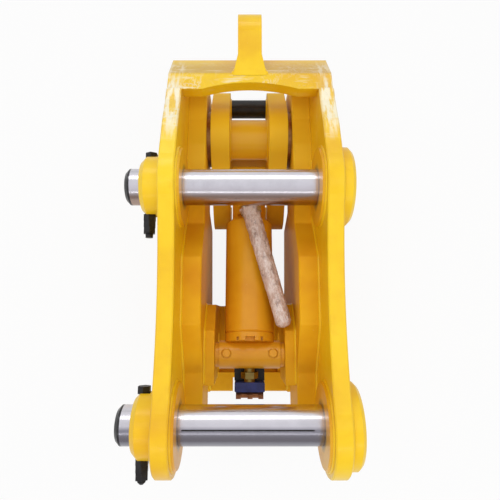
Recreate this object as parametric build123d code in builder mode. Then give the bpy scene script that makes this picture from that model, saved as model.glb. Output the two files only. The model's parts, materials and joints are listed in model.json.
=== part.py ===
from build123d import *
import math
import os

# Excavator quick coupler, at rest on its front lips and rear lobes with the hook drawn in.
# X runs across the coupler, Y from the stick pin to the lifting eye, Z up to the machine.
# The origin is on the stick pin's axis, half way between the ears. Lengths are millimetres.

os.makedirs("parts", exist_ok=True)

# Fits
slip = 0.1
running = 0.05
side_gap = 0.3

# Machine side: the two pins and the ears that hold them
pin_spacing = 500.0
pin_dia = 80.0
ear_gap = 290.0
ear_r = 100.0
ear_dip = 34.0
plate_t = 34.0
plate_drop = 150.0
rear_drop = 135.0
ear_step = (627.0, 63.0)
ear_tail = (690.0, 33.0)
rear_lip_z = 24.0
heel_run = 14.0
drop_start_y = 600.0
drop_end_y = 640.0
ring_t = 8.0
ring_rim = 14.0
ring_bevel = 3.0
collar_r = 66.0
collar_len = 47.0
collar_bevel = 11.0
boss_len = 27.0
boss_bevel = 7.0
pin_stub = 35.0
pin_proud = 2.0
pin_bevel = 7.0
pin_far_bevel = 3.0
groove_y = -1.0
groove_w = 3.0
groove_depth = 2.5
groove_len = 260.0
groove_x = -6.0
edge_bevel = 2.5
plate_corner = 6.0

# Locking bolts through the collars and pins
bolt_dia = 16.0
bolt_hex = 24.0
bolt_head_h = 15.0
nut_h = 14.0
nut_count = 3
bolt_tip = 9.0
tip_bevel = 4.0
bolt_share = 0.68
seat_depth = 4.0
seat_w = 30.0
nut_turn = 6.0
flat_up = 30.0
nipple_r = 5.0
nipple_h = 14.0
nipple_bore = 12.0
pocket_r = 10.0
pocket_depth = 15.0

# Hook plates and the tool pin that they take in front
hook_t = 45.0
shelf_z = -98.0
crest_z = -32.0
floor_z = -395.0
recess_z = -258.0
jaw_r = 40.5
front_jaw = (130.0, -310.0)
lip_front = 5.0
lip_bevel = 20.0
upper_front = -62.0
brow_z = -250.0
crest_start = (90.0, 200.0)
crest_end = (350.0, 440.0)
rear_step_y = 640.0
pivot_crest = (711.0, 800.0)
pivot_crest_drop = 15.0
hook_end = 838.0
hook_end_top = -150.0
lobe_start_y = 748.0
lobe_side_z = -330.0
recess_y = (505.0, 700.0)
recess_ramp = (724.0, -298.0)
front_ramp = (472.0, -365.0)
corner_round = 8.0

# Doubler plates that carry the cylinder's foot
lug_t = 25.0
lug_top = -112.0
lug_front = 60.0
lug_end = 247.0
lug_end_z = -170.0
lug_crest_y = 185.0
lug_throat = 44.0
lug_throat_rise = 4.0
lug_lift = 2.0
lug_step = 9.0

# Cross plates
rear_plate_t = 34.0
rear_front = (724.0, 15.0)
rear_bend = (772.0, -1.0)
rear_end = (840.0, -60.0)
arch_half = 108.0
arch_depth = 19.0
lip_plate_t = 38.0
lip_plate_top = -345.0
lip_plate_set = 3.0
lip_plate_round = 5.0
notch_half = 45.0
notch_depth = 38.0
belly_t = 28.0
belly_gap = 4.0

# Lifting eye
eye_centre = (884.0, -40.0)
eye_r = 52.0
eye_hole_r = 25.0
eye_t = 55.0
eye_flare = 12.0
eye_toe = 764.0
flare_end = 815.0
flare_rise = 4.0
eye_top_y = 871.0
eye_low_y = 859.0

# Moving hook and its pivot
pivot = (688.0, -190.0)
pivot_dia = 70.0
pivot_boss_r = 52.0
pivot_boss_t = 18.0
pivot_proud = 3.0
flag_t = 14.0
flag_r = 45.0
flag_end_r = 22.0
flag_bolt_out = (70.0, -45.0)
flag_bolt_in = 25.0
flag_hole_in = 28.0
flag_spacer_r = 14.0
washer_r = 72.0
hook_gap = 11.0
mover_t = 47.0
disc_r = 90.0
hub_r = 52.0
hub_bore_r = 39.0
web_front = ((655.0, -228.0), (632.0, -279.0))
web_back = ((668.0, -279.0), (684.0, -238.0))
bush_wall = 6.0
rear_jaw = (545.0, -303.0)
jaw_body_r = 78.5
lip_reach = 55.0
mouth_flare = 10.0
mouth_run = 150.0
arm_end = (791.0, -220.0)
arm_r = 43.0
tie_r = 24.5

# Cylinder
foot = (127.0, -152.0)
rod_pin = (585.0, -225.0)
rod_pin_dia = 50.0
rod_pin_out = 5.0
open_pivot_gap = 3.1
rod_eye_r = 38.0
rod_eye_half = 44.0
rod_eye_neck = 52.0
neck_r = 30.0
circlip_t = 2.8
circlip_r = 29.0
groove_inset = 2.0
foot_r = 33.0
foot_half = 73.0
foot_pin_dia = 40.0
foot_pin_in = 38.0
foot_pin_relief = 2.0
foot_pin_bush = 5.0
foot_bolt_x = 55.0
foot_bolt_dia = 12.0
foot_bolt_head_r = 10.0
foot_bolt_head_h = 7.0
foot_bolt_bevel = 1.5
foot_bolt_in = 8.0
foot_hole_in = 6.0
foot_flat = 31.0
spacer_r = 29.0
cap_start = 28.0
cap_notches = ((-28.0, 5.0), (1.0, 22.0), (28.0, 5.0))
cap_notch_h = 36.0
cap_notch_len = 9.0
barrel_start = 50.0
barrel_end = 345.0
barrel_r = 60.0
barrel_wall = 15.0
shoulder_rim = 1.0
weld_v = 2.5
gland_step = 1.5
gland_out = 47.0
gland_in = 40.0
rod_dia = 50.0
piston_start = 74.0
piston_len = 40.0
spigot_r = 18.0
nut_len = 18.0
thread_out = 2.0
piston_nut_hex = 50.0
seal_depth = 5.0
seal_w = 10.0

# Ports, lock valve and wrapped hoses
port_half = 30.0
port_start = 350.0
port_end = 386.0
port_low = 30.0
port_top = 100.0
hose_across = (8.0, 22.0, 38.5, 58.0, 70.5, 77.5)
hose_along = (322.0, 268.0, 213.0, 146.0, 98.0, 70.0)
hose_over = (86.0, 85.0, 77.5, 69.0, 67.5, 69.0)
port_bevel = 2.0
fitting_hex = 22.0
fitting_hex_start = 10.0
fitting_hex_w = 14.0
fitting_r = 8.0
fitting_gap = 28.0
fitting_len = 40.0
valve_half = 36.0
valve_front = 40.0
valve_back = 62.0
valve_low = -188.0
valve_high = -142.0
adapter_z = -160.0
adapter_r = 13.0
adapter_hex = 36.0
adapter_hex_w = 15.0
adapter_hex_gap = 8.0
valve_bevel = 2.0
shelf_half = 37.0
shelf_t = 10.0
shelf_end = 112.0
cartridge_r = 9.0
cartridge_core_r = 7.2
cartridge_hex_w = 12.0
cartridge_hex_x = -5.0
cartridge_half = 33.0
cartridge_z = -160.0
bundle_dia = 43.0
cap_r = 9.5
cap_len = 14.0
cap_gap = 1.0
cap_side = (0.94, 0.34, 0.0)
bend_share = 0.45

# Planes and places that follow from the sizes above
pin_r = pin_dia / 2
ring_r = ear_r - ring_rim
boss_r = ring_r
bore_r = barrel_r - barrel_wall
shoulder = barrel_wall - shoulder_rim
gland_r = bore_r - gland_step
stick_axis = (0.0, 0.0)
link_axis = (pin_spacing, 0.0)
plate_in = ear_gap / 2 + ring_t
plate_out = plate_in + plate_t
hook_in = plate_in - hook_t
lug_in = hook_in - lug_t
mover_out = hook_in - hook_gap
mover_in = mover_out - mover_t
pivot_r = pivot_dia / 2
rod_pin_r = rod_pin_dia / 2
rod_r = rod_dia / 2
foot_pin_r = foot_pin_dia / 2
bolt_r = bolt_dia / 2
reach = math.hypot(rod_pin[0] - foot[0], rod_pin[1] - foot[1])
along = ((rod_pin[0] - foot[0]) / reach, (rod_pin[1] - foot[1]) / reach)
sides = (("left", -1), ("right", 1))


def in_cylinder(distance):
    """Plane square to the cylinder's axis, with its own Y pointing down from the barrel."""
    origin = (0, foot[0] + distance * along[0], foot[1] + distance * along[1])
    return Plane(origin=origin, x_dir=(1, 0, 0), z_dir=(0, *along))


def above_cylinder(x, distance, up):
    """Point in the cylinder's own frame: across, along and square to its axis."""
    y = foot[0] + distance * along[0] - up * along[1]
    z = foot[1] + distance * along[1] + up * along[0]
    return Vector(x, y, z)


def offset_corner(before, corner, after, distance):
    """Corner of the line that runs at a distance below two joined straight stretches."""
    first = (Vector(*corner) - Vector(*before)).normalized()
    second = (Vector(*after) - Vector(*corner)).normalized()
    below_first = Vector(first.Y, -first.X)
    below_second = Vector(second.Y, -second.X)
    return Vector(*corner) + (below_first + below_second) * (distance / (1 + below_first.dot(below_second)))


def on_circle(centre, radius, y, sign):
    """Point of a circle at a given distance along Y, above or below its centre."""
    return (y, centre[1] + sign * math.sqrt(radius**2 - (y - centre[0]) ** 2))


def cross_tube(low, high, centre, outer_r, inner_r=0.0, bevel_low=0.0, bevel_high=0.0):
    """Tube or round bar that lies across the coupler from low to high."""
    with BuildPart() as tube:
        with BuildSketch(Plane.YZ.offset(low)):
            with Locations(centre):
                Circle(outer_r)
                if inner_r:
                    Circle(inner_r, mode=Mode.SUBTRACT)
        extrude(amount=high - low)
        rims = tube.edges().filter_by(GeomType.CIRCLE).filter_by(lambda edge: edge.radius > outer_r - slip)
        if bevel_low:
            chamfer(rims.sort_by(Axis.X)[0], bevel_low)
        if bevel_high:
            chamfer(rims.sort_by(Axis.X)[-1], bevel_high)
    return tube


def cross_pair(low, high, centre, outer_r, inner_r):
    """Pair of equal tubes, one on each side of the coupler."""
    with BuildPart() as pair:
        add(cross_tube(-high, -low, centre, outer_r, inner_r).part)
        add(cross_tube(low, high, centre, outer_r, inner_r).part)
    return pair


def axis_tube(start, end, outer_r, inner_r=0.0):
    """Tube or round bar on the cylinder's axis."""
    with BuildPart() as tube:
        with BuildSketch(in_cylinder(start)):
            Circle(outer_r)
            if inner_r:
                Circle(inner_r, mode=Mode.SUBTRACT)
        extrude(amount=end - start)
    return tube


# Side plates with the four ears
rear_corner = offset_corner(rear_front, rear_bend, rear_end, rear_plate_t)
rear_slope = (Vector(*rear_end) - Vector(*rear_bend)).normalized()
rear_heel = Vector(*rear_end) + Vector(rear_slope.Y, -rear_slope.X) * rear_plate_t
front_slope = (rear_bend[1] - rear_front[1]) / (rear_bend[0] - rear_front[0])
seat_z = rear_corner.Y + front_slope * (rear_front[0] - rear_corner.X)
dip_run = 40.0
front_foot = (upper_front, -plate_drop)
dip_start = on_circle(stick_axis, ear_r, dip_run, 1)
dip_end = on_circle(link_axis, ear_r, pin_spacing - dip_run, 1)
dip_middle = (pin_spacing / 2, ear_r - ear_dip)
ear_exit = on_circle(link_axis, ear_r, pin_spacing + 0.45 * ear_r, 1)
front_touch = on_circle(stick_axis, ear_r, -0.9 * ear_r, -1)
for side, sign in sides:
    with BuildPart() as side_plate:
        with BuildSketch(Plane.YZ.offset(plate_in if sign > 0 else -plate_out)) as plate_outline:
            with BuildLine():
                ThreePointArc(front_touch, on_circle(stick_axis, ear_r, -0.6 * ear_r, 1), dip_start)
                ThreePointArc(dip_start, dip_middle, dip_end)
                ThreePointArc(dip_end, (pin_spacing, ear_r), ear_exit)
                Polyline(
                    ear_exit,
                    ear_step,
                    ear_tail,
                    (rear_front[0], rear_lip_z),
                    (rear_front[0], seat_z),
                    (rear_corner.X, rear_corner.Y),
                    (rear_heel.X, rear_heel.Y),
                    (rear_heel.X - heel_run, -rear_drop),
                    (drop_end_y, -rear_drop),
                    (drop_start_y, -plate_drop),
                    front_foot,
                    front_touch,
                )
            make_face()
            free_corners = plate_outline.vertices().filter_by(lambda corner: abs(corner.Y - seat_z) > 1)
            fillet(free_corners, plate_corner)
        extrude(amount=plate_t)
        chamfer(side_plate.faces().filter_by(Axis.X).edges(), edge_bevel)
        with BuildSketch(Plane.YZ.offset(-plate_out)):
            with Locations(stick_axis, link_axis):
                Circle(pin_r + slip)
        extrude(amount=2 * plate_out, mode=Mode.SUBTRACT)
    side_plate.part.label = f"side_plate_{side}"
    export_step(side_plate.part, f"parts/side_plate_{side}.step")

# Hook plates with the front jaw, the rear recess and the rear lobes
jaw_y, jaw_z = front_jaw
flag_centre = (pivot[0] + flag_bolt_out[0], pivot[1] + flag_bolt_out[1])
for side, sign in sides:
    with BuildPart() as hook_plate:
        with BuildSketch(Plane.YZ.offset(hook_in if sign > 0 else -plate_in)):
            with BuildLine():
                FilletPolyline(
                    (jaw_y, jaw_z + jaw_r),
                    (upper_front, brow_z),
                    (upper_front, shelf_z),
                    (crest_start[0], shelf_z),
                    (crest_start[1], crest_z),
                    (crest_end[0], crest_z),
                    (crest_end[1], shelf_z),
                    (rear_step_y, shelf_z),
                    (pivot_crest[0], shelf_z - pivot_crest_drop),
                    (pivot_crest[1], shelf_z - pivot_crest_drop),
                    (hook_end, hook_end_top),
                    (hook_end, lobe_side_z),
                    (hook_end - lip_bevel, floor_z),
                    (lobe_start_y, floor_z),
                    recess_ramp,
                    (recess_y[1], recess_z),
                    (recess_y[0], recess_z),
                    front_ramp,
                    (lug_end + lug_step, floor_z),
                    (lip_front + lip_bevel, floor_z),
                    (lip_front, floor_z + lip_bevel),
                    (lip_front, lip_plate_top),
                    (jaw_y, jaw_z - jaw_r),
                    radius=corner_round,
                )
                ThreePointArc((jaw_y, jaw_z - jaw_r), (jaw_y + jaw_r, jaw_z), (jaw_y, jaw_z + jaw_r))
            make_face()
        extrude(amount=hook_t)
        inner_rim = hook_plate.faces().sort_by(Axis.X)[0 if sign > 0 else -1].edges()
        chamfer(inner_rim, edge_bevel)
        with BuildSketch(Plane.YZ.offset(-plate_in)):
            with Locations(pivot):
                Circle(pivot_r + slip)
        extrude(amount=2 * plate_in, mode=Mode.SUBTRACT)
        if sign > 0:
            with BuildSketch(Plane.YZ.offset(plate_in - flag_hole_in)):
                with Locations(flag_centre):
                    Circle(bolt_r + slip)
            extrude(amount=flag_hole_in, mode=Mode.SUBTRACT)
    hook_plate.part.label = f"hook_plate_{side}"
    export_step(hook_plate.part, f"parts/hook_plate_{side}.step")

# Doubler plates inside the front hooks, with the bores for the cylinder's foot
bush_r = foot_pin_r + foot_pin_bush
for side, sign in sides:
    with BuildPart() as lug:
        with BuildSketch(Plane.YZ.offset(lug_in if sign > 0 else -hook_in)):
            with BuildLine():
                Polyline(
                    (jaw_y, jaw_z + lug_throat),
                    (lug_front, jaw_z + lug_throat + lug_throat_rise),
                    (lug_front, lug_top),
                    (lug_crest_y, lug_top),
                    (lug_end, lug_end_z),
                    (lug_end, floor_z + lug_lift),
                    (lug_front, floor_z + lug_lift),
                    (lug_front, jaw_z - lug_throat),
                    (jaw_y, jaw_z - lug_throat),
                )
                ThreePointArc(
                    (jaw_y, jaw_z - lug_throat), (jaw_y + lug_throat, jaw_z), (jaw_y, jaw_z + lug_throat)
                )
            make_face()
            with Locations(foot):
                Circle(bush_r + slip / 2, mode=Mode.SUBTRACT)
        extrude(amount=lug_t)
    lug.part.label = f"cylinder_lug_{side}"
    export_step(lug.part, f"parts/cylinder_lug_{side}.step")

lug_bushes = cross_pair(lug_in, hook_in, foot, bush_r, foot_pin_r + running)
lug_bushes.part.label = "lug_bushes"
export_step(lug_bushes.part, "parts/lug_bushes.step")

# Rear cross plate, folded down behind, with its arched front edge
with BuildPart() as rear_cross_plate:
    with BuildSketch(Plane.YZ):
        with BuildLine():
            Polyline(
                rear_front,
                rear_bend,
                rear_end,
                (rear_heel.X, rear_heel.Y),
                (rear_corner.X, rear_corner.Y),
                (rear_front[0], seat_z),
                close=True,
            )
        make_face()
    extrude(amount=plate_out, both=True)
    with BuildSketch(Plane.XY.offset(rear_end[1] - rear_plate_t)):
        with BuildLine():
            ThreePointArc(
                (-arch_half, rear_front[0]), (0, rear_front[0] + arch_depth), (arch_half, rear_front[0])
            )
            Line((arch_half, rear_front[0]), (-arch_half, rear_front[0]))
        make_face()
    extrude(amount=2 * ear_r, mode=Mode.SUBTRACT)
rear_cross_plate.part.label = "rear_cross_plate"
export_step(rear_cross_plate.part, "parts/rear_cross_plate.step")

# Lifting eye, with its foot flared on to the rear cross plate
toe_z = rear_front[1] + front_slope * (eye_toe - rear_front[0])
slope = (rear_end[1] - rear_bend[1]) / (rear_end[0] - rear_bend[0])
eye_top = on_circle(eye_centre, eye_r, eye_top_y, 1)
eye_low = on_circle(eye_centre, eye_r, eye_low_y, -1)
with BuildPart() as lifting_eye:
    with BuildSketch(Plane.YZ):
        with BuildLine():
            Polyline(
                (eye_toe, toe_z),
                (flare_end, toe_z + flare_rise),
                (flare_end, rear_bend[1] + slope * (flare_end - rear_bend[0])),
                rear_bend,
                close=True,
            )
        make_face()
    extrude(amount=eye_t / 2 + eye_flare, both=True)
    with BuildSketch(Plane.XY.offset(rear_end[1])):
        Polygon(
            (-eye_t / 2 - eye_flare, eye_toe),
            (eye_t / 2 + eye_flare, eye_toe),
            (eye_t / 2, flare_end),
            (-eye_t / 2, flare_end),
            align=None,
        )
    extrude(amount=2 * ear_r, mode=Mode.INTERSECT)
    with BuildSketch(Plane.YZ):
        Polygon((eye_toe, toe_z), rear_bend, rear_end, eye_low, eye_centre, eye_top, align=None)
        with Locations(eye_centre):
            Circle(eye_r)
            Circle(eye_hole_r, mode=Mode.SUBTRACT)
    extrude(amount=eye_t / 2, both=True)
    add(rear_cross_plate.part, mode=Mode.SUBTRACT)
lifting_eye.part.label = "lifting_eye"
export_step(lifting_eye.part, "parts/lifting_eye.step")

# Cross plates between the front lips and under the cylinder's foot
lip_edge = lip_front + lip_plate_set
with BuildPart() as lip_cross_plate:
    with BuildSketch(Plane.XY.offset(lip_plate_top - lip_plate_t)):
        Polygon(
            (-hook_in, lug_front),
            (hook_in, lug_front),
            (hook_in, lip_edge),
            (notch_half, lip_edge),
            (notch_half, lip_edge + notch_depth),
            (-notch_half, lip_edge + notch_depth),
            (-notch_half, lip_edge),
            (-hook_in, lip_edge),
            align=None,
        )
    extrude(amount=lip_plate_t)
    fillet(lip_cross_plate.faces().sort_by(Axis.Y)[0:2].edges().filter_by(Axis.X), lip_plate_round)
lip_cross_plate.part.label = "lip_cross_plate"
export_step(lip_cross_plate.part, "parts/lip_cross_plate.step")

with BuildPart() as belly_plate:
    with BuildSketch(Plane.XY.offset(floor_z + belly_gap)):
        Polygon(
            (-lug_in, lug_front), (lug_in, lug_front), (lug_in, lug_end), (-lug_in, lug_end), align=None
        )
    extrude(amount=belly_t)
belly_plate.part.label = "belly_plate"
export_step(belly_plate.part, "parts/belly_plate.step")

# Rings, collars and bosses round the pins
for name, centre in (("stick", stick_axis), ("link", link_axis)):
    for side, sign in sides:
        low, high = sorted((sign * ear_gap / 2, sign * plate_in))
        bevels = (ring_bevel, 0) if sign > 0 else (0, ring_bevel)
        ring = cross_tube(low, high, centre, ring_r, pin_r + slip, *bevels)
        ring.part.label = f"inner_ring_{name}_{side}"
        export_step(ring.part, f"parts/inner_ring_{name}_{side}.step")

    boss = cross_tube(plate_out, plate_out + boss_len, centre, boss_r, pin_r + slip, 0, boss_bevel)
    boss.part.label = f"outer_boss_{name}"
    export_step(boss.part, f"parts/outer_boss_{name}.step")

# Collars and pins share one cross hole each for the locking bolt
lock_x = -plate_out - bolt_share * collar_len
pin_low = -plate_out - collar_len - pin_stub
pin_high = plate_out + boss_len + pin_proud


def lock_plane(centre):
    """Plane at the collar's front side, looking along the locking bolt."""
    return Plane(origin=(lock_x, centre[0] - collar_r, centre[1]), x_dir=(1, 0, 0), z_dir=(0, 1, 0))


for name, centre in (("stick", stick_axis), ("link", link_axis)):
    with BuildPart() as collar:
        collar_low = -plate_out - collar_len
        add(cross_tube(collar_low, -plate_out, centre, collar_r, pin_r + slip, collar_bevel).part)
        with BuildSketch(lock_plane(centre)):
            Circle(bolt_r + slip)
        extrude(amount=2 * collar_r, mode=Mode.SUBTRACT)
        with BuildSketch(lock_plane(centre), lock_plane(centre).offset(2 * collar_r - seat_depth)):
            Rectangle(seat_w, seat_w)
        extrude(amount=seat_depth, mode=Mode.SUBTRACT)
    collar.part.label = f"pin_collar_{name}"
    export_step(collar.part, f"parts/pin_collar_{name}.step")

    with BuildPart() as pin:
        add(cross_tube(pin_low, pin_high, centre, pin_r, 0, pin_bevel, pin_far_bevel).part)
        with BuildSketch(lock_plane(centre)):
            Circle(bolt_r + slip)
        extrude(amount=2 * collar_r, mode=Mode.SUBTRACT)
        if name == "stick":
            groove_up = math.sqrt(pin_r**2 - groove_y**2)
            with BuildSketch(Plane.XY.offset(centre[1] + groove_up - groove_depth)):
                with Locations((groove_x, centre[0] + groove_y)):
                    SlotOverall(groove_len, groove_w)
            extrude(amount=2 * groove_depth, mode=Mode.SUBTRACT)
        for radius, depth in ((pocket_r, pocket_depth), (nipple_r / 2, pocket_depth + nipple_bore)):
            with BuildSketch(Plane.YZ.offset(pin_low)):
                with Locations(centre):
                    Circle(radius)
            extrude(amount=depth, mode=Mode.SUBTRACT)
    pin.part.label = f"{name}_pin"
    export_step(pin.part, f"parts/{name}_pin.step")

# Locking bolts, with a head behind the collar and three nuts in front of it
clamp_len = 2 * (collar_r - seat_depth)
nut_stack = nut_count * nut_h
with BuildPart() as pin_bolts:
    for centre in (stick_axis, link_axis):
        with BuildSketch(lock_plane(centre).offset(seat_depth - nut_stack - bolt_tip)):
            Circle(bolt_r)
        extrude(amount=nut_stack + bolt_tip + clamp_len)
        with BuildSketch(lock_plane(centre).offset(seat_depth + clamp_len)):
            RegularPolygon(bolt_hex / 2, 6, major_radius=False, rotation=flat_up)
        extrude(amount=bolt_head_h)
    chamfer(pin_bolts.faces().group_by(Axis.Y)[0].edges(), tip_bevel)
pin_bolts.part.label = "pin_bolts"
export_step(pin_bolts.part, "parts/pin_bolts.step")

with BuildPart() as pin_nuts:
    for centre in (stick_axis, link_axis):
        for number in range(nut_count):
            with BuildSketch(lock_plane(centre).offset(seat_depth - (number + 1) * nut_h)):
                RegularPolygon(bolt_hex / 2, 6, major_radius=False, rotation=flat_up + number * nut_turn)
                Circle(bolt_r + slip / 2, mode=Mode.SUBTRACT)
            extrude(amount=nut_h - slip)
pin_nuts.part.label = "pin_bolt_nuts"
export_step(pin_nuts.part, "parts/pin_bolt_nuts.step")

nipple_low = pin_low + pocket_depth
with BuildPart() as grease_nipples:
    for centre in (stick_axis, link_axis):
        with BuildSketch(Plane.YZ.offset(nipple_low)):
            with Locations(centre):
                RegularPolygon(nipple_r, 6)
        extrude(amount=-nipple_h / 2)
        with BuildSketch(Plane.YZ.offset(nipple_low - nipple_h / 2)):
            with Locations(centre):
                Circle(nipple_r / 2)
        extrude(amount=-nipple_h / 2)
grease_nipples.part.label = "grease_nipples"
export_step(grease_nipples.part, "parts/grease_nipples.step")

# Pivot pin with its flag, bosses, bolt, spacer and thrust washers
pivot_half = plate_in + pivot_boss_t
with BuildPart() as pivot_pin:
    with BuildSketch(Plane.YZ.offset(-pivot_half - pivot_proud)):
        with Locations(pivot):
            Circle(pivot_r)
    extrude(amount=2 * pivot_half + pivot_proud)
    with BuildSketch(Plane.YZ.offset(pivot_half)):
        with BuildSketch(mode=Mode.PRIVATE) as flag_rounds:
            with Locations(pivot):
                Circle(flag_r)
            with Locations(flag_centre):
                Circle(flag_end_r)
        make_hull(flag_rounds.edges())
        with Locations(flag_centre):
            Circle(bolt_r + slip, mode=Mode.SUBTRACT)
    extrude(amount=flag_t)
pivot_pin.part.label = "pivot_pin"
export_step(pivot_pin.part, "parts/pivot_pin.step")

flag_spacer = cross_tube(plate_in, pivot_half, flag_centre, flag_spacer_r, bolt_r + slip)
flag_spacer.part.label = "flag_spacer"
export_step(flag_spacer.part, "parts/flag_spacer.step")

with BuildPart() as flag_bolt:
    with BuildSketch(Plane.YZ.offset(plate_in - flag_bolt_in)):
        with Locations(flag_centre):
            Circle(bolt_r)
    extrude(amount=pivot_boss_t + flag_t + flag_bolt_in)
    with BuildSketch(Plane.YZ.offset(pivot_half + flag_t)):
        with Locations(flag_centre):
            RegularPolygon(bolt_hex / 2, 6, major_radius=False)
    extrude(amount=bolt_head_h)
flag_bolt.part.label = "flag_bolt"
export_step(flag_bolt.part, "parts/flag_bolt.step")

for side, sign in sides:
    low, high = sorted((sign * plate_in, sign * pivot_half))
    pivot_boss = cross_tube(low, high, pivot, pivot_boss_r, pivot_r + slip)
    pivot_boss.part.label = f"pivot_boss_{side}"
    export_step(pivot_boss.part, f"parts/pivot_boss_{side}.step")

thrust_washers = cross_pair(mover_out + side_gap, hook_in, pivot, washer_r, pivot_r + slip)
thrust_washers.part.label = "thrust_washers"
export_step(thrust_washers.part, "parts/thrust_washers.step")

# Moving hook: two plates on a hub with a web below, the rear jaw in front and a tie bar behind
to_pivot = (Vector(*pivot) - Vector(*rear_jaw)).normalized()
mouth = Vector(to_pivot.Y, -to_pivot.X)
jaw_top = Vector(*rear_jaw) + to_pivot * jaw_r
mover_bush_r = pivot_r + running + bush_wall
for side, sign in sides:
    with BuildPart() as moving_hook:
        with BuildSketch(Plane.YZ.offset(mover_in if sign > 0 else -mover_out)):
            with BuildSketch(mode=Mode.PRIVATE) as jaw_rounds:
                with Locations(pivot):
                    Circle(disc_r)
                with Locations(rear_jaw):
                    Circle(jaw_body_r)
            make_hull(jaw_rounds.edges())
            with BuildSketch(mode=Mode.PRIVATE) as arm_rounds:
                with Locations(pivot):
                    Circle(disc_r)
                with Locations(arm_end):
                    Circle(arm_r)
            make_hull(arm_rounds.edges())
            with Locations(rear_jaw):
                Circle(jaw_r, mode=Mode.SUBTRACT)
            jaw_low = Vector(*rear_jaw) - to_pivot * jaw_r
            jaw_flare = jaw_top + mouth * mouth_flare
            below_mouth = jaw_low + mouth * mouth_run
            Polygon(
                (jaw_low.X, jaw_low.Y),
                (jaw_top.X, jaw_top.Y),
                (jaw_flare.X, jaw_flare.Y),
                (pivot[0] + mouth_flare, pivot[1] - disc_r),
                (pivot[0] + mouth_flare, floor_z - jaw_r),
                (below_mouth.X, below_mouth.Y),
                align=None,
                mode=Mode.SUBTRACT,
            )
            tip = Vector(*rear_jaw) + mouth * lip_reach - to_pivot * jaw_r / 2
            lip_cut = Plane(origin=(tip.X, tip.Y), x_dir=(to_pivot.X, to_pivot.Y), z_dir=(0, 0, 1))
            with Locations(lip_cut * Location((0, -jaw_r))):
                Rectangle(3 * jaw_r, 2 * jaw_r, mode=Mode.SUBTRACT)
            with Locations(pivot):
                Circle(mover_bush_r + slip / 2, mode=Mode.SUBTRACT)
            with Locations(rod_pin):
                Circle(rod_pin_r + slip, mode=Mode.SUBTRACT)
        extrude(amount=mover_t)
    moving_hook.part.label = f"moving_hook_{side}"
    export_step(moving_hook.part, f"parts/moving_hook_{side}.step")

hub_bushes = cross_pair(mover_in, mover_out, pivot, mover_bush_r, pivot_r + running)
hub_bushes.part.label = "hub_bushes"
export_step(hub_bushes.part, "parts/hub_bushes.step")

with BuildPart() as hub_tube:
    add(cross_tube(-mover_in, mover_in, pivot, hub_r).part)
    with BuildSketch(Plane.YZ):
        Polygon(*web_front, *web_back, align=None)
    extrude(amount=mover_in, both=True)
    add(cross_tube(-mover_in, mover_in, pivot, hub_bore_r).part, mode=Mode.SUBTRACT)
hub_tube.part.label = "hub_tube"
export_step(hub_tube.part, "parts/hub_tube.step")

tie_bar = cross_tube(-mover_in, mover_in, arm_end, tie_r)
tie_bar.part.label = "tie_bar"
export_step(tie_bar.part, "parts/tie_bar.step")

# Rod pin and its two circlips
with BuildPart() as rod_pin_part:
    add(cross_tube(-mover_out - rod_pin_out, mover_out + rod_pin_out, rod_pin, rod_pin_r).part)
    for start in (-mover_out - slip - circlip_t - slip, mover_out + slip):
        with BuildSketch(Plane.YZ.offset(start)):
            with Locations(rod_pin):
                Circle(rod_pin_r + slip)
                Circle(rod_pin_r - groove_inset, mode=Mode.SUBTRACT)
        extrude(amount=circlip_t + slip, mode=Mode.SUBTRACT)
rod_pin_part.part.label = "rod_pin"
export_step(rod_pin_part.part, "parts/rod_pin.step")

clip_start = mover_out + slip
clip_end = clip_start + circlip_t
circlips = cross_pair(clip_start, clip_end, rod_pin, circlip_r, rod_pin_r - groove_inset + slip)
circlips.part.label = "rod_pin_circlips"
export_step(circlips.part, "parts/rod_pin_circlips.step")

# Cylinder foot, its two stub pins, their bolts and the side spacers
with BuildPart() as foot_tube:
    with BuildSketch(Plane.YZ):
        with Locations(foot):
            Circle(foot_r)
    extrude(amount=foot_half, both=True)
    for start in (-foot_half, foot_pin_in - foot_pin_relief):
        with BuildSketch(Plane.YZ.offset(start)):
            with Locations(foot):
                Circle(foot_pin_r + slip)
        extrude(amount=foot_half - foot_pin_in + foot_pin_relief, mode=Mode.SUBTRACT)
    up_plane = Plane(origin=above_cylinder(0, 0, 0), x_dir=(1, 0, 0), z_dir=(0, -along[1], along[0]))
    with BuildSketch(up_plane.offset(foot_flat)):
        with Locations((-foot_bolt_x, 0), (foot_bolt_x, 0)):
            Circle(foot_bolt_head_r + foot_bolt_bevel)
    extrude(amount=foot_r, mode=Mode.SUBTRACT)
    with BuildSketch(up_plane):
        with Locations((-foot_bolt_x, 0), (foot_bolt_x, 0)):
            Circle(foot_bolt_dia / 2 + slip)
    extrude(amount=foot_flat, mode=Mode.SUBTRACT)
foot_tube.part.label = "foot_tube"
export_step(foot_tube.part, "parts/foot_tube.step")

for side, sign in sides:
    with BuildPart() as foot_pin:
        low, high = sorted((sign * foot_pin_in, sign * (hook_in - side_gap)))
        add(cross_tube(low, high, foot, foot_pin_r).part)
        with BuildSketch(up_plane.offset(foot_hole_in)):
            with Locations((sign * foot_bolt_x, 0)):
                Circle(foot_bolt_dia / 2 + slip)
        extrude(amount=foot_r, mode=Mode.SUBTRACT)
    foot_pin.part.label = f"foot_pin_{side}"
    export_step(foot_pin.part, f"parts/foot_pin_{side}.step")

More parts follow.
